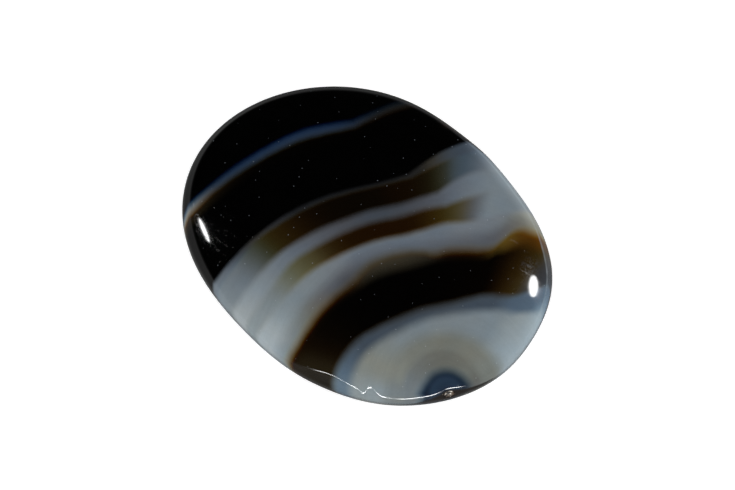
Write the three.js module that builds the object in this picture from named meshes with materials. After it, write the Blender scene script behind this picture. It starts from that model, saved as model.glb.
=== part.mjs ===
// Oval cabochon of banded agate, lying on its flat underside.
// Millimetres, +Z up. The origin is the middle of the underside, and +X points along the stone
// to the end where the bands close round their eye.

import * as THREE from 'three';
import { mergeVertices } from 'three/addons/utils/BufferGeometryUtils.js';

// Size of the oval. Its ends are ground a little flat, which leaves the stone 40 mm long.
const LENGTH = 40.4;
const WIDTH = 30.5;
const THICKNESS = 6;

// Outline: an ellipse round a point just off the middle, ground by hand to slightly skewed
// shoulders and faint flats. A wave adds its extra radius at an angle from +X, over a spread.
const OVAL_CENTRE_X = 0.2;
const SHOULDER_SKEW = 0.019;
const EDGE_FLATS = 0.0027;
const OUTLINE_WAVES = [
  { angle: -113, extra: 0.14, spread: 25 },
  { angle: -73, extra: -0.18, spread: 17 },
  { angle: 3, extra: -0.39, spread: 14 },
  { angle: 68, extra: 0.25, spread: 13 },
];

// Edge, from the underside up
const BASE_SETBACK = 0.4;
const GIRDLE_Z = 0.45;
const WALL_TOP_Z = 2.5;
const WALL_LEAN = 0.15;

// Crown: one low dome. It would meet the outline at the edge height, but the bevel cuts it off
// before that, in a ridge.
const CROWN_EDGE_Z = 3.3;
const CROWN_POWER = 2.6;

// Bevel between the wall and the ridge, seen from above. It was cut by eye, so it runs wider and
// narrower round the stone, in waves like those of the outline.
const BEVEL_WIDTH = 0.66;
const BEVEL_WAVES = [
  { angle: -150, extra: 0.46, spread: 22 },
  { angle: -74, extra: 0.72, spread: 11 },
  { angle: -60.3, extra: -0.5, spread: 1.5 },
  { angle: -57.9, extra: 0.76, spread: 2.5 },
  { angle: -47, extra: -0.2, spread: 9 },
  { angle: -29.8, extra: 0.3, spread: 4 },
  { angle: 29, extra: 0.12, spread: 6 },
  { angle: 72, extra: -0.18, spread: 30 },
];

// Small natural pit in the bevel, beside the eye
const PIT_ANGLE = -30.5;
const PIT_INSET = 0.48;
const PIT_Z = 2.97;
const PIT_RADIUS = 0.5;
const PIT_DEPTH = 0.32;

// Fineness of the solid: steps round the stone, and rings on the crown as shares of the ridge
const SEGMENTS = 180;
const CROWN_RINGS = [0.97, 0.92, 0.85, 0.76, 0.65, 0.52, 0.37, 0.2];
const BEVEL_RING = { across: 0.4, up: 0.55 };

// Surface colour, seen as a whole
const STONE_COLOUR = 0x2b2a2a;
const STONE_ROUGHNESS = 0.12;

// Parts of the surface, from the underside up
const UNDERSIDE = 0;
const GIRDLE = 1;
const WALL_TOP = 2;
const BEVEL = 3;
const RIDGE = 4;
const CROWN = 5;

function sumOfWaves(waves, angle) {
  const turn = THREE.MathUtils.radToDeg(angle);
  let sum = 0;
  for (const wave of waves) {
    const away = THREE.MathUtils.euclideanModulo(turn - wave.angle + 180, 360) - 180;
    sum += wave.extra * Math.exp(-((away / wave.spread) ** 2));
  }
  return sum;
}

function outlineRadius(angle) {
  const halfLength = LENGTH / 2;
  const halfWidth = WIDTH / 2;
  const ellipse = halfLength * halfWidth
    / Math.hypot(halfWidth * Math.cos(angle), halfLength * Math.sin(angle));
  const ground = 1 + SHOULDER_SKEW * Math.sin(4 * angle) - EDGE_FLATS * Math.cos(6 * angle);
  return ellipse * ground + sumOfWaves(OUTLINE_WAVES, angle);
}

function bevelWidth(angle) {
  return BEVEL_WIDTH + sumOfWaves(BEVEL_WAVES, angle);
}

function crownHeight(radius, outline) {
  return THICKNESS - (THICKNESS - CROWN_EDGE_Z) * (radius / outline) ** CROWN_POWER;
}

// Radius and height of a ring of the surface at an angle. A share under 1 lies inside the ring,
// on the underside or the crown.
function radiusAndHeight(surface, share, angle) {
  const outline = outlineRadius(angle);
  const wallTop = outline - WALL_LEAN;
  const ridge = outline - bevelWidth(angle);
  const ridgeZ = crownHeight(ridge, outline);
  switch (surface) {
    case UNDERSIDE:
      return [share * (outline - BASE_SETBACK), 0];
    case GIRDLE:
      return [outline, GIRDLE_Z];
    case WALL_TOP:
      return [wallTop, WALL_TOP_Z];
    case BEVEL:
      return [
        THREE.MathUtils.lerp(wallTop, ridge, BEVEL_RING.across),
        THREE.MathUtils.lerp(WALL_TOP_Z, ridgeZ, BEVEL_RING.up),
      ];
    case RIDGE:
      return [ridge, ridgeZ];
    default:
      return [share * ridge, crownHeight(share * ridge, outline)];
  }
}

function pressPit(point) {
  const angle = THREE.MathUtils.degToRad(PIT_ANGLE);
  const outward = new THREE.Vector3(Math.cos(angle), Math.sin(angle), 0);
  const centre = outward.clone().multiplyScalar(outlineRadius(angle) - PIT_INSET);
  centre.z = PIT_Z;
  const inward = new THREE.Vector3(-outward.x, -outward.y, -1).normalize();
  const nearness = Math.exp(-((point.distanceTo(centre) / PIT_RADIUS) ** 2));
  point.addScaledVector(inward, PIT_DEPTH * nearness);
}

// A lathe of unit radius gives the rings: the height of each ring says which part of the surface
// it belongs to, and its radius the share.
function unitLathe() {
  const profile = [
    new THREE.Vector2(0, UNDERSIDE),
    new THREE.Vector2(1, UNDERSIDE),
    new THREE.Vector2(1, GIRDLE),
    new THREE.Vector2(1, WALL_TOP),
    new THREE.Vector2(1, BEVEL),
    new THREE.Vector2(1, RIDGE),
  ];
  for (const share of CROWN_RINGS) {
    profile.push(new THREE.Vector2(share, CROWN));
  }
  profile.push(new THREE.Vector2(0, CROWN));
  const lathe = new THREE.LatheGeometry(profile, SEGMENTS);
  lathe.deleteAttribute('normal');
  lathe.deleteAttribute('uv');
  lathe.rotateX(Math.PI / 2);
  return mergeVertices(lathe);
}

function cabochonGeometry() {
  const geometry = unitLathe();
  const position = geometry.attributes.position;
  for (let i = 0; i < position.count; i += 1) {
    const surface = Math.round(position.getZ(i));
    const share = Math.hypot(position.getX(i), position.getY(i));
    const angle = Math.atan2(position.getY(i), position.getX(i));
    const [radius, height] = radiusAndHeight(surface, share, angle);
    const point = new THREE.Vector3(radius * Math.cos(angle), radius * Math.sin(angle), height);
    if (surface > GIRDLE) {
      pressPit(point);
    }
    position.setXYZ(i, OVAL_CENTRE_X + point.x, point.y, point.z);
  }
  geometry.computeVertexNormals();
  return geometry;
}

const agate = new THREE.Group();

const cabochon = new THREE.Mesh(
  cabochonGeometry(),
  new THREE.MeshStandardMaterial({ color: STONE_COLOUR, roughness: STONE_ROUGHNESS, metalness: 0 }),
);
cabochon.name = 'agate_cabochon';
agate.add(cabochon);

export default agate;
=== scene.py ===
"""A polished oval cabochon of banded agate, lying on a pale table under soft light.

The skin of the stone is made by Geometry Nodes from the sizes of the stone, with the ridge, the
uneven bevel and the pit that its solid has. The bands are a node material: each band starts at a
drawn distance from the eye of the banding. Lengths in the node trees are in millimetres, and
everything else is in metres, in the frame of the solid: X along the stone to the eye, Z up.
"""

import math

import bpy
from mathutils import Matrix, Vector


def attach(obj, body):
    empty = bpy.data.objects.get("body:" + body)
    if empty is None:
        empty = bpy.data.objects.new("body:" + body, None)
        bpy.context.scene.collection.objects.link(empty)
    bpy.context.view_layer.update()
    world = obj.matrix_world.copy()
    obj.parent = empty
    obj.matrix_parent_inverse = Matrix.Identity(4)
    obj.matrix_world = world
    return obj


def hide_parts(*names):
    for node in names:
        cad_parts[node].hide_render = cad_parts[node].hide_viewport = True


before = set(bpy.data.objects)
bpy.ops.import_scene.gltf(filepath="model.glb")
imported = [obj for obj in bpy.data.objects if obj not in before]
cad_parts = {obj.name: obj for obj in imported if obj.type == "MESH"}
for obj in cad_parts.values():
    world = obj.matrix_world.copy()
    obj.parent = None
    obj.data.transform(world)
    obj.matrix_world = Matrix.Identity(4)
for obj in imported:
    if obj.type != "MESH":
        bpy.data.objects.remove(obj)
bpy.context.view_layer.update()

MM = 0.001

# Sizes of the stone, in millimetres, as the solid has them
STONE = {
    "Length": 40.4,
    "Width": 30.5,
    "Thickness": 6.0,
    "Oval Centre": 0.2,
    "Shoulder Skew": 0.019,
    "Edge Flats": 0.0027,
    "Base Setback": 0.4,
    "Girdle Height": 0.45,
    "Wall Top": 2.5,
    "Wall Lean": 0.15,
    "Crown Edge": 3.3,
    "Crown Power": 2.6,
    "Bevel Width": 0.66,
    "Ridge Rounding": 0.2,
    "Polish Waves": 0.006,
    "Pit Radius": 0.5,
    "Pit Depth": 0.32,
}

# Waves of the hand-cut outline and bevel: degrees from X, extra radius or width, and spread
OUTLINE_WAVES = [
    (-113, 0.14, 25),
    (-73, -0.18, 17),
    (3, -0.39, 14),
    (68, 0.25, 13),
]
BEVEL_WAVES = [
    (-150, 0.46, 22),
    (-74, 0.72, 11),
    (-60.3, -0.5, 1.5),
    (-57.9, 0.76, 2.5),
    (-47, -0.2, 9),
    (-29.8, 0.3, 4),
    (29, 0.12, 6),
    (72, -0.18, 30),
]

# Fineness of the skin: steps round the stone and up each strip of it. The rings of the crown lie
# closer at the ridge where their spacing is above 1.
STEPS_ROUND = 640
STEPS_UP = {
    "underside": 14,
    "base corner": 6,
    "girdle corner": 8,
    "wall": 6,
    "wall corner": 10,
    "bevel": 6,
    "ridge": 12,
    "crown": 58,
}
CROWN_SPACING = 1.25
JOIN_DISTANCE = 1e-3

# Where the corners start and end: millimetres in from the edge of the underside, and shares of
# the way up the set-back, the wall and the bevel
BASE_ROUNDING = 0.15
SETBACK_SHARE = 0.7
WALL_SHARES = (0.08, 0.75)
BEVEL_SHARE = 0.35

# The camera: its turn round the stone, its height above the horizon, its lens, and the point it
# looks at, right and up from the middle of the stone as it sees it
CAMERA_TURN = 31.1
CAMERA_ELEVATION = 85.0
LENS = 180.0
SENSOR = 36.0
NEAREST_SEEN = 0.01
VIEW_WIDTH = 76.6 * MM
AIM = (0.17 * MM, -0.08 * MM, 1.5 * MM)
TO_CAMERA = (0, 0, -math.radians(CAMERA_TURN))

# The eye of the banding, right and up from the middle of the stone as the camera sees it
EYE_RIGHT = 8.29
EYE_UP = -15.65

# How far the bands shift for each millimetre below the ridge, because their layers dip
BAND_DIP = 0.9
DIP_START = 3.3

# Noise: features per millimetre and how far it swings, and where needed its detail and roughness
POLISH_WAVES = (0.22, 2, 1.0)
PIT_OUTLINE = (2.2, 0.5)
BROAD_SWAY = (0.16, 0.4)
FINE_SWAY = (0.9, 0.1)
GROWTH_LAYERS = (1.0, 0.16, 3.0, 0.6)
CLOUDS = (0.5, 0.2, 4.0, 0.6)
GRAIN = (5.0, 0.1)
WARM_CLOUDS = (0.3, 0.14)
CRYSTAL_OUTLINE = (2.0, 0.8)
UNEVENNESS = (0.9, 0.0008)
GRINDING = (1.0, 1.0, 3.0, 0.7)

# Polishing waves fade in above the girdle. Growth layers follow the distance from the eye and
# the turn round it, and grinding marks are long and thin.
POLISH_HEIGHTS = (0.3, 1.5)
LAYERS_PER_MM = 2.2
LAYERS_ROUND = 5
GRINDING_STRETCH = (0.4, 6, 1)
GRINDING_CONTRAST = 0.3
GRINDING_PALENESS = 0.12

# Regions of the surface, each a product of soft steps. A step names what it measures, where it
# starts and where it ends, and may give its strength at the start and the end. Height, and right,
# up and distance from the eye, are in millimetres. Upright is the upward part of the normal.
REGIONS = {
    "underside": [("upright", -0.5, -0.8)],
    "wall": [("upright", 0.5, 0.2)],
    "bevel": [("upright", 0.93, 0.85)],
    "crown": [("upright", 0.6, 0.8)],
    # painted glow of light let through the stone where it is thin at its edge
    "painted edge glow": [
        ("height", 3.95, 3.3), ("height", 1.2, 2.7, 0.5, 1.0), ("upright", -0.3, 0.2),
        ("distance", 3, 8), ("right", -12, 4, 0.12, 0.72), ("up", 2, 16, 0.2, 1.0),
    ],
    # painted sheen: the bevel beside the right highlight is painted paler
    "painted bevel sheen": [
        ("upright", 0.92, 0.82), ("upright", -0.3, 0.2), ("right", 7, 10), ("up", 10.5, 15),
    ],
    # paler in noisy patches along the ridge on the lower right
    "pale ridge": [
        ("upright", 0.91, 0.86), ("upright", 0.5, 0.7), ("right", 0, 6), ("up", 4, 9),
    ],
}
PALE_RIDGE_SCALE = 1.5

# Patches of noise: where they start and are full, features per millimetre, detail and roughness
BLOTCHES = {
    "smudge": (0.5, 0.68, 0.22, 3.0, 0.6),
    "mottling": (0.44, 0.62, 4.5, 4.0, 0.7),
    "grains": (0.44, 0.54, 3.2),
    "glints": (0.56, 0.62, 4.1),
}

# The dark root of the eye in the bevel. Its top falls to the right, it widens to the left on its
# way down, and its edges are ragged and soft.
ROOT = {
    "ragged": (0.8, 1.2, 3.0),
    "top": 3.7,
    "fall": 0.2,
    "ragged top": 0.2,
    "top edge": (0.05, -0.3),
    "foot": (0.7, 2.3),
    "wide below": 3.6,
    "widening": 2.2,
    "left edge": (-1.0, 0.4),
    "right edge": (6.0, 4.0),
}

# Scratches: their angle, length and width, and how common they are. Their edge is a step of noise.
SCRATCHES = [
    (20, 6, 0.09, 0.28),
    (-55, 5, 0.08, 0.27),
]
SCRATCH_EDGE = 0.05

# Dust: spacing, radius, and the share of the places that hold a speck
DUST = (1.2, 0.055, 0.26)

# Worn patches of the crown beside the right highlight, with a painted glare in their colour: right
# and up from the eye of the banding, and their reach. The core of a patch is a share of its reach.
SCUFF_GLARE_PATCHES = [
    (8.7, 13.0, 1.4),
    (10.0, 10.2, 1.5),
]
SCUFF_GLARE_CORE = 0.3

# The middle of the pit in the bevel, beside the eye, and how far its crystals reach
PIT_PLACE = (15.5, -9.01, 2.97)
CRYSTAL_EDGE = (0.62, 0.4)

# What lies over the bands, in turn: where, in which colour, and how strongly
COVERS = [
    # painted sheen on the bevel beside the right highlight
    ("painted bevel sheen", "ash", 0.22),
    # paler patches along the ridge on the lower right
    ("pale ridge", "pale", 0.4),
    ("root", "root", 1.0),
    ("pit", "crystal", 1.0),
    ("grains", "black", 1.0),
    ("glints", "glint", 1.0),
    ("dust", "dust", 0.2),
    # painted glare beside the right highlight, over worn patches
    ("scuffs and painted glare", "lead", 0.32),
    ("ground face", "lead", 1.0),
]

# The finish: the roughness of the best polish, what each part adds to it, and how far in
# millimetres each stands out. Agate bends light by its IOR.
POLISH = 0.05
ROUGHER = {
    "smudge": 0.03,
    "bevel": 0.04,
    "wall": 0.07,
    "underside": 0.35,
    "pit": 0.4,
    "dust": 0.6,
    "scuffs and painted glare": 0.04,
}
RELIEF = {
    "scratches": -0.0015,
    "dust": 0.003,
    "grinding marks": 0.012,
    "grains": 0.06,
}
AGATE_IOR = 1.54

# The table: its reach, how far it lies under the stone, its colour, its own faint light, and how
# close below a face it counts as touching. Its mirrored grey goes from one place to another, right
# of the middle in metres as the camera sees it, and from one shade to another.
TABLE_REACH = 1.6
TABLE_HEIGHT = -0.02 * MM
TABLE_COLOUR = (0.9, 0.9, 0.9, 1)
TABLE_GLOW = 0.35
TABLE_CONTACT = 0.2 * MM
TABLE_MIRRORED = (-0.008, -0.018, 0.12, 0.2)

# The room: the backdrop, and what the stone mirrors, which goes from dark to grey between two
# heights of a direction
WHITE = (1, 1, 1, 1)
BACKDROP = 1.0
ROOM_MIRRORED = (0.72, 0.05, 0.0, 0.11)

# Soft panels of light, and how far they stand from the stone. Azimuths are from the right as the
# camera sees it, tilts from straight up, and a roll turns a panel in its own plane, in degrees.
# The size is the width and height in metres as the camera sees them, and the brightness is that
# of the panel's own face.
PANEL_DISTANCE = 0.6
PANELS = [
    {
        "name": "Left panel", "azimuth": 181, "tilt": 37.4, "roll": 8.7,
        "size": (0.014, 0.078), "brightness": 32,
    },
    {
        "name": "Right panel", "azimuth": -2, "tilt": 36.6, "roll": -8.8,
        "size": (0.028, 0.082), "brightness": 32,
    },
    {
        "name": "Front left strip", "azimuth": -103.8, "tilt": 60,
        "size": (0.172, 0.12), "brightness": 42, "shape": "RECTANGLE", "mirror_only": True,
    },
    {
        "name": "Front right strip", "azimuth": -80.5, "tilt": 60,
        "size": (0.19, 0.12), "brightness": 38, "shape": "RECTANGLE", "mirror_only": True,
    },
]

# Light: how bright a white surface lies, and the colours that the agate shows in that light
TABLE_LIGHT = 1.17
PALETTE = {
    "black": (1, 1, 1),
    "soot": (8, 5, 2),
    "coffee": (16, 8, 2),
    "smoke": (24, 11, 2),
    "umber": (40, 27, 7),
    "bronze": (50, 40, 10),
    "amber": (68, 42, 8),
    "honey": (84, 66, 24),
    "coal": (46, 48, 52),
    "peat": (38, 32, 19),
    "olive": (52, 48, 38),
    "reed": (48, 51, 26),
    "fern": (72, 66, 42),
    "moss": (88, 90, 68),
    "khaki": (105, 103, 84),
    "bone": (116, 115, 108),
    "ink": (26, 27, 29),
    "night": (26, 36, 50),
    "navy": (34, 46, 62),
    "dusk": (33, 46, 66),
    "storm": (37, 52, 69),
    "slate": (58, 66, 75),
    "dove": (66, 68, 74),
    "pine": (44, 44, 27),
    "teal": (62, 74, 84),
    "steel": (76, 92, 108),
    "denim": (100, 119, 133),
    "lead": (79, 83, 90),
    "taupe": (94, 91, 86),
    "mist": (96, 105, 115),
    "sand": (99, 100, 94),
    "clay": (108, 111, 105),
    "cloud": (106, 112, 118),
    "haze": (114, 124, 130),
    "shell": (121, 125, 119),
    "ash": (118, 120, 121),
    "milk": (133, 144, 148),
    "frost": (140, 153, 160),
    "chalk": (130, 133, 127),
    "pale": (160, 170, 175),
    "root": (27, 22, 18),
    "crystal": (96, 74, 52),
    "dust": (150, 165, 180),
    "glint": (235, 228, 215),
}

# The bands, from the eye outwards. Each starts at its edge, over its softness in millimetres.
# An edge is drawn as (degrees round the eye, millimetres from it), where 0 degrees is to the
# right as the camera sees the stone and 90 is up. It may turn sharply at a corner, and its
# colours change along it in the same way. With a fringe, red changes first and blue last.
BANDS = [
    {
        "name": "Eye ring", "softness": 0.4,
        "edge": [(0, 0.9), (180, 0.9)],
        "colours": [(0, "storm")],
    },
    {
        "name": "Eye rim", "softness": 0.35,
        "edge": [(0, 1.75), (180, 1.75)],
        "colours": [(0, "night")],
    },
    {
        "name": "Inner fan", "softness": 0.65, "fringe": -0.06,
        "edge": [(0, 2.7), (60, 2.4), (120, 2.4), (160, 2.45), (180, 2.8)],
        "colours": [(0, "lead"), (25, "sand"), (45, "clay"), (75, "sand"), (130, "sand"),
                    (180, "haze")],
    },
    {
        "name": "Middle fan", "softness": 0.5,
        "edge": [(0, 3.8), (45, 4.0), (90, 4.4), (180, 4.4)],
        "colours": [(20, "clay"), (35, "shell"), (60, "clay"), (130, "clay"), (150, "shell"),
                    (165, "shell"), (180, "haze")],
    },
    {
        "name": "Outer fan", "softness": 1.0,
        "edge": [(0, 6.3), (180, 6.3)],
        "colours": [(36, "frost"), (46, "milk"), (56, "haze"), (130, "haze"), (150, "shell"),
                    (165, "shell"), (175, "milk")],
    },
    {
        "name": "Slate rim", "softness": 0.7,
        "edge": [(0, 16), (35, 14.2), (40, 12.9), (45, 11.8), (50, 10.8), (57, 10.2), (65, 9.4),
                 (80, 8.4), (110, 7.8), (122, 7.85), (135, 8.2), (150, 9.0), (160, 9.5),
                 (180, 10.0)],
        "colours": [(34, "frost"), (39, "milk"), (42, "denim"), (45, "steel"), (53, "steel"),
                    (62, "slate"), (150, "slate"), (165, "steel"), (180, "denim")],
    },
    {
        "name": "Broad black band", "softness": 0.6, "fringe": -0.05,
        "edge": [(0, 18), (45, 15.8), (50, 13.9), (55, 12.3), (60, 11.6), (65, 11.2), (80, 9.7),
                 (90, 9.15), (105, 8.95), (120, 9.0), (135, 9.6), (150, 10.65), (160, 11.2),
                 (180, 12.0)],
        "colours": [(43, "steel"), (45, "teal"), (48, "coal"), (52, "coal"), (55, "bronze"),
                    (59, "umber"), (65, "coffee"), (71, "black"), (140, "black"), (155, "soot"),
                    (163, "coffee"), (169, "peat"), (175, "soot")],
    },
    {
        "name": "Amber end", "softness": 1.0,
        "edge": [(0, 30), (50, 21), (56, 18), (62, 17.5), (65, 16.8), (67, 16.3), (70, 15.8),
                 (72, 15.2), (80, 14.5), (92, 14.1), (105, 13.85), (120, 14.2), (150, 15.2),
                 (180, 16.3)],
        "colours": [(56, "amber"), (64, "amber"), (68, "honey"), (70, "honey"), (75, "smoke"),
                    (90, "smoke"), (97, "olive"), (125, "olive"), (133, "umber"), (142, "smoke"),
                    (165, "smoke")],
    },
    {
        "name": "Lower grey band", "softness": 0.65, "fringe": 0.14,
        "edge": [(0, 32), (54, 20.5), (58, 19.3), (62, 18.9), (65, 18.7), (67, 18.2), (70, 16.6),
                 (72, 15.8), (76, 15.2), (80, 14.95), (90, 14.6), (95, 14.4), (100, 14.8),
                 (105, 15.1), (115, 15.35), (120, 15.4), (125, 15.2), (130, 14.95), (140, 15.15),
                 (150, 15.55), (160, 16.1), (170, 16.8), (180, 17.5)],
        "colours": [(58, "khaki"), (64, "bone"), (68, "taupe"), (73, "lead"), (122, "lead"),
                    (131, "dove"), (138, "lead"), (146, "taupe"), (153, "clay"), (160, "haze"),
                    (170, "milk")],
    },
    {
        "name": "Lower grey crest", "softness": 1.1,
        "edge": [(0, 33), (58, 21), (66, 19.6), (70, 18.8), (72, 18), (76, 17), (80, 16.5),
                 (88, 15.9), (95, 15.5), (105, 15.7), (115, 16.1), (122, 16.3), (130, 16.5),
                 (140, 16.8), (150, 17.2), (160, 17.6), (180, 19)],
        "colours": [(58, "bone"), (67, "clay"), (73, "cloud"), (84, "cloud"), (92, "mist"),
                    (122, "mist"), (130, "cloud"), (141, "haze"), (149, "haze"), (156, "milk"),
                    (163, "pale")],
    },
    {
        "name": "Right haze", "softness": 1.2,
        "edge": [(0, 21), (60, 20.2), (66, 20.2), (70, 20.4), (74, 21.4), (78, 26), (84, 40),
                 (180, 50)],
        "colours": [(60, "chalk"), (70, "chalk"), (77, "milk")],
    },
    {
        "name": "Brown band", "softness": 0.47, "corner": 84, "fringe": -0.05,
        "edge": [(0, 40), (78, 18.4), (84, 17.7), (90, 17.45), (95, 17.1), (100, 16.85),
                 (105, 16.8), (110, 17), (120, 17.4), (130, 18.05), (140, 18.8), (150, 19.4),
                 (160, 20.2), (180, 22)],
        "colours": [(77, "haze"), (81, "lead"), (85, "fern"), (90, "bronze"), (95, "umber"),
                    (101, "smoke"), (122, "smoke"), (130, "umber"), (136, "fern"), (143, "moss"),
                    (151, "haze"), (160, "milk")],
    },
    {
        "name": "Middle grey band", "softness": 0.5, "corner": 90, "fringe": 0.04,
        "edge": [(0, 42), (80, 20.9), (85, 20.05), (90, 19.25), (95, 19.05), (100, 18.85),
                 (105, 18.75), (110, 18.95), (120, 19.45), (130, 20.05), (140, 20.75), (150, 21.1),
                 (160, 21.9), (180, 23.5)],
        "colours": [(76, "haze"), (85, "mist"), (92, "lead"), (100, "dove"), (110, "slate"),
                    (120, "dove"), (130, "lead"), (140, "mist"), (150, "haze"), (162, "pale")],
    },
    {
        "name": "Upper brown band", "softness": 0.5, "corner": 92.5, "fringe": -0.02,
        "edge": [(0, 45), (80, 23.5), (85, 22.6), (92.5, 20.65), (100, 20.05), (105, 19.95),
                 (110, 20.15), (120, 20.65), (130, 21.45), (140, 22.3), (150, 23.05), (180, 25)],
        "colours": [(76, "haze"), (80, "mist"), (84, "teal"), (87, "teal"), (90, "pine"),
                    (95, "coffee"), (104, "coffee"), (109, "soot"), (122, "soot"), (130, "coffee"),
                    (138, "umber"), (143, "reed"), (150, "mist"), (162, "milk")],
    },
    {
        "name": "Thin grey line", "softness": 0.3, "corner": 99, "fringe": 0.06,
        "edge": [(0, 46), (80, 26), (85, 24.9), (90, 24), (95, 23.1), (99, 22.45), (105, 22.3),
                 (110, 22.45), (120, 23.15), (130, 24), (140, 24.85), (150, 25.6), (180, 27)],
        "colours": [(76, "mist"), (84, "slate"), (89, "slate"), (93, "olive"), (97, "ink"),
                    (130, "ink"), (137, "coal"), (142, "olive"), (147, "slate"), (152, "mist"),
                    (160, "haze")],
    },
    {
        "name": "Wide black field", "softness": 0.32, "corner": 100,
        "edge": [(0, 48), (80, 27.5), (85, 26.2), (90, 25.15), (95, 24), (100, 22.85),
                 (105, 22.65), (110, 22.75), (120, 23.55), (130, 24.5), (140, 25.3), (150, 26.2),
                 (156, 26.8), (180, 29)],
        "colours": [(0, "black")],
    },
    {
        "name": "Blue line shadow", "softness": 0.6, "corner": 109,
        "edge": [(0, 50), (95, 29.6), (109, 28.2), (120, 29.1), (140, 31.2), (180, 35)],
        "colours": [(128, "black"), (139, "soot"), (147, "peat"), (158, "umber")],
    },
    {
        "name": "Blue line", "softness": 0.4, "corner": 109, "fringe": 0.08,
        "edge": [(0, 50), (95, 30.3), (100, 29.85), (105, 29.35), (109, 29.05), (120, 30.1),
                 (130, 30.95), (135, 31.45), (140, 31.95), (145, 32.4), (150, 33.1), (180, 36)],
        "colours": [(92, "soot"), (100, "ink"), (106, "ink"), (112, "dusk"), (128, "dusk"),
                    (137, "navy"), (141, "dove"), (145, "ash"), (152, "ash")],
    },
    {
        "name": "Upper black field", "softness": 0.4, "corner": 109, "fringe": 0.08,
        "edge": [(0, 51), (95, 31), (100, 30.5), (105, 30), (109, 29.75), (120, 30.95),
                 (130, 31.7), (135, 32.15), (140, 32.6), (145, 33.1), (150, 33.9), (180, 37)],
        "colours": [(0, "black")],
    },
]
EDGE_REACH = 60.0


# Writing node trees


class Wire:
    """A value on its way through a node tree. Python's arithmetic on it adds Math nodes."""

    def __init__(self, tree, socket):
        self.tree = tree
        self.socket = socket

    def __add__(self, other):
        return calc("ADD", self, other)

    __radd__ = __add__

    def __sub__(self, other):
        return calc("SUBTRACT", self, other)

    def __rsub__(self, other):
        return calc("SUBTRACT", other, self)

    def __mul__(self, other):
        return calc("MULTIPLY", self, other)

    __rmul__ = __mul__

    def __truediv__(self, other):
        return calc("DIVIDE", self, other)

    def __pow__(self, other):
        return calc("POWER", self, other)


def feed(tree, socket, value):
    """Links a wire to a socket, or sets the socket's own value."""
    if isinstance(value, Wire):
        tree.links.new(value.socket, socket)
    else:
        socket.default_value = value


def add(tree, kind, inputs=None, **settings):
    """Adds a node with its settings, and feeds its inputs by name or number."""
    node = tree.nodes.new(kind)
    for name, value in settings.items():
        setattr(node, name, value)
    for key, value in (inputs or {}).items():
        feed(tree, node.inputs[key], value)
    return node


def output_of(tree, kind, inputs=None, **settings):
    """Adds a node as above, and gives its first output."""
    return Wire(tree, add(tree, kind, inputs, **settings).outputs[0])


def calc(operation, *values):
    """A Math node on wires and numbers."""
    tree = next(value.tree for value in values if isinstance(value, Wire))
    return output_of(tree, "ShaderNodeMath", dict(enumerate(values)), operation=operation)


def vector_calc(operation, *values):
    """A Vector Math node that gives a vector."""
    tree = next(value.tree for value in values if isinstance(value, Wire))
    return output_of(tree, "ShaderNodeVectorMath", dict(enumerate(values)), operation=operation)


def length_of(vector):
    node = add(vector.tree, "ShaderNodeVectorMath", {0: vector}, operation="LENGTH")
    return Wire(vector.tree, node.outputs["Value"])


def split(vector):
    node = add(vector.tree, "ShaderNodeSeparateXYZ", {0: vector})
    return [Wire(vector.tree, socket) for socket in node.outputs]


def join(tree, x, y, z):
    return output_of(tree, "ShaderNodeCombineXYZ", {0: x, 1: y, 2: z})


def thrice(value):
    """A value as all three parts of a vector or a colour."""
    return join(value.tree, value, value, value)


def in_millimetres(place):
    return vector_calc("MULTIPLY", place, (1 / MM,) * 3)


def blend(start, end, share):
    return start + (end - start) * share


def smooth_step(value, low, high, start=0.0, end=1.0):
    """Goes from start to end as the value goes from low to high, with soft ends."""
    limits = {"From Min": low, "From Max": high, "To Min": start, "To Max": end}
    return output_of(
        value.tree, "ShaderNodeMapRange", {"Value": value, **limits},
        interpolation_type="SMOOTHSTEP",
    )


def live_socket(sockets, name):
    """The socket of this name that the node's settings have in use."""
    return next(socket for socket in sockets if socket.name == name and socket.enabled)


def mix_colour(factor, first, second):
    """A colour laid over another one by a share."""
    node = add(factor.tree, "ShaderNodeMix", data_type="RGBA")
    feed(factor.tree, live_socket(node.inputs, "Factor"), factor)
    feed(factor.tree, live_socket(node.inputs, "A"), first)
    feed(factor.tree, live_socket(node.inputs, "B"), second)
    return Wire(factor.tree, live_socket(node.outputs, "Result"))


def mix_shader(factor, first, second):
    return output_of(factor.tree, "ShaderNodeMixShader", {0: factor, 1: first, 2: second})


def noise(position, scale, detail=2.0, roughness=0.5):
    return output_of(
        position.tree, "ShaderNodeTexNoise",
        {"Vector": position, "Scale": scale, "Detail": detail, "Roughness": roughness},
    )


def drift(position, scale, reach, detail=2.0, roughness=0.5):
    """Noise that swings to both sides of zero."""
    return (noise(position, scale, detail, roughness) - 0.5) * reach


def group_sockets(tree, inputs, outputs):
    """Gives a group its sockets: names with the kind of socket and, for an input, its value."""
    for name, (kind, value) in inputs.items():
        socket = tree.interface.new_socket(name=name, in_out="INPUT", socket_type=kind)
        if value is not None:
            socket.default_value = value
    for name, kind in outputs.items():
        tree.interface.new_socket(name=name, in_out="OUTPUT", socket_type=kind)
    inlet = tree.nodes.new("NodeGroupInput")
    outlet = tree.nodes.new("NodeGroupOutput")
    return {name: Wire(tree, inlet.outputs[name]) for name in inputs}, outlet


def empty_material(name):
    material = bpy.data.materials.new(name)
    material.use_nodes = True
    material.node_tree.nodes.clear()
    return material, material.node_tree


# The skin of the stone


def sum_of_waves(waves, angle):
    total = 0
    for turn, extra, spread in waves:
        away = calc("WRAP", angle - math.radians(turn), math.pi, -math.pi) / math.radians(spread)
        total = total + calc("EXPONENT", away * away * -1) * extra
    return total


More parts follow.
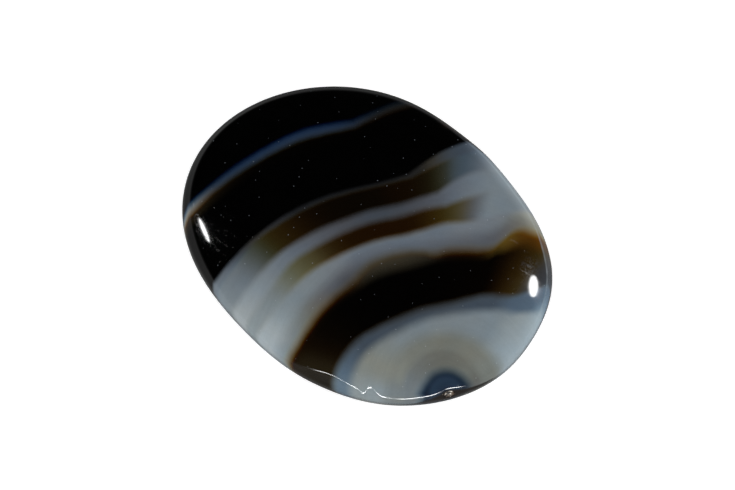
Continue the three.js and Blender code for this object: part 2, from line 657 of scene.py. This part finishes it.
def outline_radius(sizes, angle):
    half_length = sizes["Length"] / 2
    half_width = sizes["Width"] / 2
    across = half_width * calc("COSINE", angle)
    along = half_length * calc("SINE", angle)
    ellipse = half_length * half_width / calc("SQRT", across * across + along * along)
    skew = sizes["Shoulder Skew"] * calc("SINE", angle * 4)
    flats = sizes["Edge Flats"] * calc("COSINE", angle * 6)
    return ellipse * (skew - flats + 1) + sum_of_waves(OUTLINE_WAVES, angle)


def crown_height(sizes, radius, outline):
    fall = sizes["Thickness"] - sizes["Crown Edge"]
    return sizes["Thickness"] - fall * (radius / outline) ** sizes["Crown Power"]


def bend(share, start, corner, end):
    """A point on a rounded corner: radius and height, from start to end round the corner."""
    point = []
    for first, middle, last in zip(start, corner, end):
        point.append(blend(blend(first, middle, share), blend(middle, last, share), share))
    return point


def straight(share, start, end):
    return [blend(first, last, share) for first, last in zip(start, end)]


def strips_of(sizes, angle, share):
    """The strips of the skin, from the middle of the underside to the top of the crown. Each has
    the radius and height of a point at an angle and a share of the way up the strip."""
    outline = outline_radius(sizes, angle)
    ridge = outline - sizes["Bevel Width"] - sum_of_waves(BEVEL_WAVES, angle)
    rounding = sizes["Ridge Rounding"]
    zero = share * 0
    base = [outline - sizes["Base Setback"], zero]
    girdle = [outline, sizes["Girdle Height"]]
    wall_top = [outline - sizes["Wall Lean"], sizes["Wall Top"]]
    ridge_top = [ridge, crown_height(sizes, ridge, outline)]
    crown_start = [ridge - rounding, crown_height(sizes, ridge - rounding, outline)]
    base_in = [base[0] - BASE_ROUNDING, zero]
    base_out = straight(SETBACK_SHARE, base, girdle)
    wall_low, wall_high = [straight(part, girdle, wall_top) for part in WALL_SHARES]
    bevel_low = straight(BEVEL_SHARE, wall_top, ridge_top)
    bevel_run = [last - first for first, last in zip(wall_top, ridge_top)]
    bevel_length = length_of(join(share.tree, *bevel_run, 0))
    bevel_high = straight(1 - rounding / bevel_length, wall_top, ridge_top)
    inward = (1 - share ** CROWN_SPACING) * crown_start[0]
    return {
        "underside": straight(share, [zero, zero], base_in),
        "base corner": bend(share, base_in, base, base_out),
        "girdle corner": bend(share, base_out, girdle, wall_low),
        "wall": straight(share, wall_low, wall_high),
        "wall corner": bend(share, wall_high, wall_top, bevel_low),
        "bevel": straight(share, bevel_low, bevel_high),
        "ridge": bend(share, bevel_high, ridge_top, crown_start),
        "crown": [inward, crown_height(sizes, inward, outline)],
    }


def polish_and_pit(tree, sizes, geometry):
    """Gives the skin the faint waves of hand polishing, and presses the pit into the bevel."""
    in_mm = in_millimetres(output_of(tree, "GeometryNodeInputPosition"))
    normal = output_of(tree, "GeometryNodeInputNormal")
    waves = drift(in_mm, *POLISH_WAVES) * sizes["Polish Waves"]
    above_base = smooth_step(split(in_mm)[2], *POLISH_HEIGHTS)
    wave_offset = vector_calc("MULTIPLY", normal, thrice(waves * above_base * MM))

    away = length_of(vector_calc("SUBTRACT", in_mm, PIT_PLACE)) / sizes["Pit Radius"]
    away = away + drift(in_mm, *PIT_OUTLINE)
    depth = calc("EXPONENT", away * away * -1) * sizes["Pit Depth"] * MM
    outward = Vector(PIT_PLACE[:2]).normalized()
    inward = Vector((-outward.x, -outward.y, -1)).normalized()
    pit_offset = vector_calc("MULTIPLY", thrice(depth), tuple(inward))
    offset = vector_calc("ADD", wave_offset, pit_offset)
    return output_of(tree, "GeometryNodeSetPosition", {"Geometry": geometry, "Offset": offset})


def skin_tree():
    """The Geometry Nodes tree of the skin: strips of quads, joined edge to edge and closed."""
    tree = bpy.data.node_groups.new("Cabochon skin", "GeometryNodeTree")
    inputs = {name: ("NodeSocketFloat", value) for name, value in STONE.items()}
    inputs["Agate"] = ("NodeSocketMaterial", None)
    sizes, outlet = group_sockets(tree, inputs, {"Geometry": "NodeSocketGeometry"})

    grid_x, grid_y, _ = split(output_of(tree, "GeometryNodeInputPosition"))
    angle = (grid_x + 0.5) * 2 * math.pi
    share = grid_y + 0.5
    cosine = calc("COSINE", angle)
    sine = calc("SINE", angle)

    gather = tree.nodes.new("GeometryNodeJoinGeometry")
    for name, (radius, height) in strips_of(sizes, angle, share).items():
        counts = {"Vertices X": STEPS_ROUND + 1, "Vertices Y": STEPS_UP[name] + 1}
        grid = output_of(tree, "GeometryNodeMeshGrid", {"Size X": 1, "Size Y": 1, **counts})
        along = sizes["Oval Centre"] + radius * cosine
        place = join(tree, along * MM, radius * sine * MM, height * MM)
        strip = output_of(tree, "GeometryNodeSetPosition", {"Geometry": grid, "Position": place})
        feed(tree, gather.inputs[0], strip)
    closed = output_of(
        tree, "GeometryNodeMergeByDistance",
        {"Geometry": Wire(tree, gather.outputs[0]), "Distance": JOIN_DISTANCE * MM},
    )
    polished = polish_and_pit(tree, sizes, closed)
    smooth = output_of(tree, "GeometryNodeSetShadeSmooth", {"Geometry": polished})
    real = output_of(tree, "GeometryNodeRealizeInstances", {"Geometry": smooth})
    coloured = output_of(
        tree, "GeometryNodeSetMaterial", {"Geometry": real, "Material": sizes["Agate"]},
    )
    feed(tree, outlet.inputs[0], coloured)
    return tree


def make_stone(material):
    """The stone as a plain mesh, woven by the skin tree."""
    stone = bpy.data.objects.new("agate_stone", bpy.data.meshes.new("agate_stone"))
    bpy.context.scene.collection.objects.link(stone)
    tree = skin_tree()
    skin = stone.modifiers.new("Skin", "NODES")
    skin.node_group = tree
    for item in tree.interface.items_tree:
        if item.in_out == "INPUT":
            skin[item.identifier] = material if item.name == "Agate" else STONE[item.name]
    evaluated = stone.evaluated_get(bpy.context.evaluated_depsgraph_get())
    mesh = bpy.data.meshes.new_from_object(evaluated)
    stone.modifiers.remove(skin)
    stone.data = mesh
    return stone


# The agate


def seen(name):
    """A palette colour, read by the sRGB curve, as the surface colour that shows it under the
    table's light."""
    colour = []
    for part in PALETTE[name]:
        share = part / 255
        linear = share / 12.92 if share <= 0.04045 else ((share + 0.055) / 1.055) ** 2.4
        colour.append(linear / TABLE_LIGHT)
    return (*colour, 1.0)


def drawn_edge(turn, points, corner=None):
    """The distance of a band's edge from the eye, read off a drawn curve."""
    node = add(turn.tree, "ShaderNodeFloatCurve", {"Value": turn})
    node.mapping.extend = "HORIZONTAL"
    line = node.mapping.curves[0]
    while len(line.points) < len(points):
        line.points.new(0.5, 0.5)
    for point, (degrees, distance) in zip(line.points, points):
        point.location = (degrees / 180, distance / EDGE_REACH)
        point.handle_type = "VECTOR" if degrees == corner else "AUTO"
    node.mapping.update()
    return Wire(turn.tree, node.outputs[0]) * EDGE_REACH


def drawn_colours(turn, stops):
    """The colour along a band, read off a ramp of palette colours."""
    node = add(turn.tree, "ShaderNodeValToRGB", {"Fac": turn})
    ramp = node.color_ramp
    ramp.interpolation = "B_SPLINE"
    while len(ramp.elements) < len(stops):
        ramp.elements.new(0.5)
    while len(ramp.elements) > len(stops):
        ramp.elements.remove(ramp.elements[-1])
    for element, (degrees, name) in zip(ramp.elements, stops):
        element.position = degrees / 180
        element.color = seen(name)
    return Wire(turn.tree, node.outputs[0])


def band_group():
    """A band laid over what lies inside its edge, with its red ahead of its blue by the fringe."""
    tree = bpy.data.node_groups.new("Band", "ShaderNodeTree")
    wires, outlet = group_sockets(
        tree,
        {
            "Inside": ("NodeSocketColor", None),
            "Band": ("NodeSocketColor", None),
            "Distance": ("NodeSocketFloat", 0.0),
            "Edge": ("NodeSocketFloat", 1.0),
            "Softness": ("NodeSocketFloat", 0.5),
            "Fringe": ("NodeSocketFloat", 0.0),
        },
        {"Color": "NodeSocketColor"},
    )
    beyond = wires["Distance"] - wires["Edge"]
    red_first = join(tree, beyond + wires["Fringe"], beyond, beyond - wires["Fringe"])
    high = thrice(wires["Softness"])
    covered = add(
        tree, "ShaderNodeMapRange", data_type="FLOAT_VECTOR", interpolation_type="SMOOTHSTEP",
    )
    feed(tree, live_socket(covered.inputs, "Vector"), red_first)
    feed(tree, live_socket(covered.inputs, "From Min"), vector_calc("SUBTRACT", (0, 0, 0), high))
    feed(tree, live_socket(covered.inputs, "From Max"), high)
    over = add(tree, "ShaderNodeMix", data_type="VECTOR", factor_mode="NON_UNIFORM")
    share = Wire(tree, live_socket(covered.outputs, "Vector"))
    feed(tree, live_socket(over.inputs, "Factor"), share)
    feed(tree, live_socket(over.inputs, "A"), wires["Inside"])
    feed(tree, live_socket(over.inputs, "B"), wires["Band"])
    tree.links.new(live_socket(over.outputs, "Result"), outlet.inputs[0])
    return tree


def banding_coordinates(tree, place):
    """Where a point lies in the banding: its turn round the eye from 0 to 1 for half a turn, its
    distance from the eye, and its place as the camera sees it from the eye, in millimetres."""
    aligned = output_of(
        tree, "ShaderNodeMapping",
        {
            "Vector": place, "Location": (-EYE_RIGHT, -EYE_UP, 0), "Rotation": TO_CAMERA,
            "Scale": (1 / MM,) * 3,
        },
    )
    right, up, height = split(aligned)
    depth = calc("MAXIMUM", DIP_START - height, 0)
    up = up + depth * BAND_DIP
    flow = join(tree, right, up, height)
    sway = drift(flow, *BROAD_SWAY) + drift(flow, *FINE_SWAY)
    distance = calc("SQRT", right * right + up * up) + sway
    turn = calc("ARCTAN2", calc("ABSOLUTE", up), right) / math.pi
    return turn, distance, flow


def banded_colour(tree, turn, distance):
    """The colour of the bands, one laid over the other from the eye outwards."""
    band = band_group()
    colour = seen("navy")
    for spec in BANDS:
        layer = add(tree, "ShaderNodeGroup", node_tree=band, label=spec["name"])
        feed(tree, layer.inputs["Inside"], colour)
        feed(tree, layer.inputs["Band"], drawn_colours(turn, spec["colours"]))
        feed(tree, layer.inputs["Distance"], distance)
        feed(tree, layer.inputs["Edge"], drawn_edge(turn, spec["edge"], spec.get("corner")))
        feed(tree, layer.inputs["Softness"], spec["softness"])
        feed(tree, layer.inputs["Fringe"], spec.get("fringe", 0.0))
        colour = Wire(tree, layer.outputs[0])
    return colour


def growth_tint(tree, turn, distance, flow, in_mm):
    """Growth layers and clouds inside the bands, as a tint for their colour."""
    layers = join(tree, distance * LAYERS_PER_MM, turn * LAYERS_ROUND, 0)
    shade = drift(layers, *GROWTH_LAYERS) + drift(flow, *CLOUDS) + drift(in_mm, *GRAIN) + 1
    warmth = drift(flow, *WARM_CLOUDS)
    return join(tree, shade * (1 + warmth), shade, shade * (1 - warmth))


def region(at, steps):
    """A mask of a region of the surface, from its soft steps."""
    mask = 1.0
    for measure, *limits in steps:
        mask = mask * smooth_step(at[measure], *limits)
    return mask


def blotch(place, start, full, scale, detail=2.0, roughness=0.5):
    """A mask of soft patches, where noise is high."""
    return smooth_step(noise(place, scale, detail, roughness), start, full)


def streaks(place, turn, length, width, share):
    """A mask of sparse straight streaks that lie at an angle, with their length and width."""
    stretch = (1 / length, 1 / width, 1)
    laid = output_of(
        place.tree, "ShaderNodeMapping",
        {"Vector": place, "Rotation": (0, 0, math.radians(turn)), "Scale": stretch},
    )
    return smooth_step(noise(laid, 1.0, 1.0), 1 - share, 1 - share + SCRATCH_EDGE)


def specks(place, spacing, radius, share):
    """A mask of round specks scattered over the top, one in a share of the cells of a pattern."""
    cells = add(
        place.tree, "ShaderNodeTexVoronoi", {"Vector": place, "Scale": 1 / spacing},
        voronoi_dimensions="2D",
    )
    away = Wire(place.tree, cells.outputs["Distance"]) * spacing
    lot, size, _ = split(Wire(place.tree, cells.outputs["Color"]))
    rim = radius * (0.5 + size)
    core = radius * (0.2 + size * 0.3)
    return smooth_step(away, rim, core) * calc("LESS_THAN", lot, share)


def patch(flow, right, up, reach):
    """A soft round patch of the surface, at a place right and up from the eye."""
    flat = vector_calc("MULTIPLY", flow, (1, 1, 0))
    away = length_of(vector_calc("SUBTRACT", flat, (right, up, 0)))
    return smooth_step(away, reach, reach * SCUFF_GLARE_CORE)


def root_mask(flow, at):
    """A mask of the dark root of the eye, where it shows in the bevel."""
    ragged = drift(flow, *ROOT["ragged"])
    top = ROOT["top"] - calc("MAXIMUM", at["right"], 0) * ROOT["fall"]
    top = top + ragged * ROOT["ragged top"]
    widening = (ROOT["wide below"] - at["height"]) * ROOT["widening"]
    mask = smooth_step(at["height"] - top, *ROOT["top edge"])
    mask = mask * smooth_step(at["height"], *ROOT["foot"])
    mask = mask * smooth_step(at["right"] + ragged + widening, *ROOT["left edge"])
    return mask * smooth_step(at["right"] + ragged, *ROOT["right edge"])


def surface_masks(in_mm, flow, at):
    """Masks of the regions of the surface with the painted glow and sheen, the root, the crystals
    in the pit, and the wear with the painted glare beside the right highlight.
    """
    masks = {name: region(at, steps) for name, steps in REGIONS.items()}
    masks["pale ridge"] = masks["pale ridge"] * noise(flow, PALE_RIDGE_SCALE)
    masks["root"] = root_mask(flow, at)

    pit_away = length_of(vector_calc("SUBTRACT", in_mm, PIT_PLACE))
    masks["pit"] = smooth_step(pit_away + drift(in_mm, *CRYSTAL_OUTLINE), *CRYSTAL_EDGE)
    masks["grains"] = masks["pit"] * blotch(in_mm, *BLOTCHES["grains"])
    masks["glints"] = masks["pit"] * blotch(in_mm, *BLOTCHES["glints"])

    masks["smudge"] = blotch(in_mm, *BLOTCHES["smudge"])
    masks["dust"] = specks(in_mm, *DUST) * masks["crown"]
    # Worn patches beside the right highlight: they add roughness, and their colour is a painted
    # glare
    scuffed_with_glare = calc("MAXIMUM", *[patch(flow, *glare_scuff) for glare_scuff in SCUFF_GLARE_PATCHES])
    masks["scuffs and painted glare"] = scuffed_with_glare * blotch(in_mm, *BLOTCHES["mottling"])
    scratched = calc("MAXIMUM", *[streaks(in_mm, *scratch) for scratch in SCRATCHES])
    masks["scratches"] = scratched * (1 - masks["underside"])

    grinding = drift(vector_calc("MULTIPLY", in_mm, GRINDING_STRETCH), *GRINDING)
    masks["grinding marks"] = grinding * masks["underside"]
    paler = grinding * GRINDING_CONTRAST + GRINDING_PALENESS
    masks["ground face"] = masks["underside"] * paler
    return masks


def agate_material():
    material, tree = empty_material("Banded agate")
    coordinates = tree.nodes.new("ShaderNodeTexCoord")
    place = Wire(tree, coordinates.outputs["Object"])
    in_mm = in_millimetres(place)
    turn, distance, flow = banding_coordinates(tree, place)
    at = dict(zip(("right", "up", "height"), split(flow)))
    at["distance"] = distance
    at["upright"] = split(Wire(tree, coordinates.outputs["Normal"]))[2]
    masks = surface_masks(in_mm, flow, at)

    tint = growth_tint(tree, turn, distance, flow, in_mm)
    colour = vector_calc("MULTIPLY", banded_colour(tree, turn, distance), tint)
    # Painted glow: the colour is brighter where the stone is thin at its edge, most of all on the
    # right, for light that pale layers let through
    colour = vector_calc("MULTIPLY", colour, thrice(masks["painted edge glow"] + 1))
    for name, cover, share in COVERS:
        colour = mix_colour(masks[name] * share, colour, seen(cover))
    roughness = POLISH
    for name, extra in ROUGHER.items():
        roughness = roughness + masks[name] * extra
    relief = drift(in_mm, *UNEVENNESS)
    for name, rise in RELIEF.items():
        relief = relief + masks[name] * rise
    bump = output_of(
        tree, "ShaderNodeBump", {"Strength": 1.0, "Distance": MM, "Height": relief},
    )
    surface = output_of(
        tree, "ShaderNodeBsdfPrincipled",
        {"Base Color": colour, "Roughness": roughness, "Normal": bump, "IOR": AGATE_IOR},
    )
    feed(tree, tree.nodes.new("ShaderNodeOutputMaterial").inputs["Surface"], surface)
    return material


# The table, the light and the camera


def camera_frame():
    """Turns directions as the camera sees them, right, up and towards it, into the stone's."""
    return Matrix.Rotation(math.radians(CAMERA_TURN), 4, "Z")


def make_table():
    """A pale table top. It mirrors as a darker grey. From below it isn't there, and it doesn't
    shade the face that lies on it."""
    mesh = bpy.data.meshes.new("Table")
    corners = [
        (x * TABLE_REACH, y * TABLE_REACH, TABLE_HEIGHT)
        for x, y in ((-1, -1), (1, -1), (1, 1), (-1, 1))
    ]
    mesh.from_pydata(corners, [], [(0, 1, 2, 3)])
    table = bpy.data.objects.new("Table", mesh)
    bpy.context.scene.collection.objects.link(table)
    material, tree = empty_material("Pale table")
    pale = output_of(
        tree, "ShaderNodeBsdfPrincipled",
        {
            "Base Color": TABLE_COLOUR, "Roughness": 1.0, "Specular IOR Level": 0.0,
            "Emission Color": WHITE, "Emission Strength": TABLE_GLOW,
        },
    )
    spot = Wire(tree, tree.nodes.new("ShaderNodeTexCoord").outputs["Object"])
    turned = output_of(tree, "ShaderNodeMapping", {"Vector": spot, "Rotation": TO_CAMERA})
    grey = smooth_step(split(turned)[0], *TABLE_MIRRORED)
    mirrored = output_of(tree, "ShaderNodeBsdfDiffuse", {"Color": thrice(grey)})
    rays = tree.nodes.new("ShaderNodeLightPath").outputs
    top = mix_shader(Wire(tree, rays["Is Glossy Ray"]), pale, mirrored)
    near = calc("LESS_THAN", Wire(tree, rays["Ray Length"]), TABLE_CONTACT)
    under_stone = near * Wire(tree, rays["Is Diffuse Ray"])
    from_below = Wire(tree, tree.nodes.new("ShaderNodeNewGeometry").outputs["Backfacing"])
    clear = output_of(tree, "ShaderNodeBsdfTransparent")
    both = mix_shader(calc("MAXIMUM", under_stone, from_below), top, clear)
    feed(tree, tree.nodes.new("ShaderNodeOutputMaterial").inputs["Surface"], both)
    mesh.materials.append(material)


def make_world():
    """Soft even light. Mirrored in the stone, the room is dark overhead and grey lower down."""
    world = bpy.data.worlds.new("Studio")
    bpy.context.scene.world = world
    world.use_nodes = True
    tree = world.node_tree
    tree.nodes.clear()
    height = split(Wire(tree, tree.nodes.new("ShaderNodeTexCoord").outputs["Generated"]))[2]
    strengths = (TABLE_LIGHT, smooth_step(height, *ROOM_MIRRORED), BACKDROP)
    even, mirrored, backdrop = [
        output_of(tree, "ShaderNodeBackground", {"Color": WHITE, "Strength": strength})
        for strength in strengths
    ]
    rays = tree.nodes.new("ShaderNodeLightPath").outputs
    room = mix_shader(Wire(tree, rays["Is Glossy Ray"]), even, mirrored)
    shown = mix_shader(Wire(tree, rays["Is Camera Ray"]), room, backdrop)
    feed(tree, tree.nodes.new("ShaderNodeOutputWorld").inputs["Surface"], shown)


def make_light(name, azimuth, tilt, size, brightness, shape="ELLIPSE", roll=0, mirror_only=False):
    """A soft panel that faces the stone."""
    data = bpy.data.lights.new(name, "AREA")
    data.shape = shape
    data.size, data.size_y = size
    face = size[0] * size[1] * (math.pi / 4 if shape == "ELLIPSE" else 1)
    data.energy = brightness * math.pi * face
    light = bpy.data.objects.new(name, data)
    bpy.context.scene.collection.objects.link(light)
    turn = math.radians(azimuth)
    lean = math.radians(tilt)
    across = math.sin(lean)
    back = Vector((math.cos(turn) * across, math.sin(turn) * across, math.cos(lean)))
    upward = (Vector((0, 1, 0)) - back * back.y).normalized()
    facing = Matrix((upward.cross(back), upward, back)).transposed().to_4x4()
    rolled = facing @ Matrix.Rotation(math.radians(roll), 4, "Z")
    light.matrix_world = camera_frame() @ Matrix.Translation(back * PANEL_DISTANCE) @ rolled
    light.visible_camera = False
    light.visible_diffuse = not mirror_only


def make_camera():
    data = bpy.data.cameras.new("Camera")
    data.lens = LENS
    data.sensor_width = SENSOR
    data.clip_start = NEAREST_SEEN
    camera = bpy.data.objects.new("Camera", data)
    bpy.context.scene.collection.objects.link(camera)
    rise = math.radians(CAMERA_ELEVATION)
    back = camera_frame() @ Vector((0, -math.cos(rise), math.sin(rise)))
    camera.location = camera_frame() @ Vector(AIM) + back * (VIEW_WIDTH / SENSOR * LENS)
    camera.rotation_euler = back.to_track_quat("Z", "Y").to_euler()
    bpy.context.scene.camera = camera


bpy.context.scene.view_settings.view_transform = "Standard"
make_table()
make_world()
for panel in PANELS:
    make_light(**panel)
make_camera()

stone = make_stone(agate_material())
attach(stone, "root")
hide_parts("agate_cabochon")
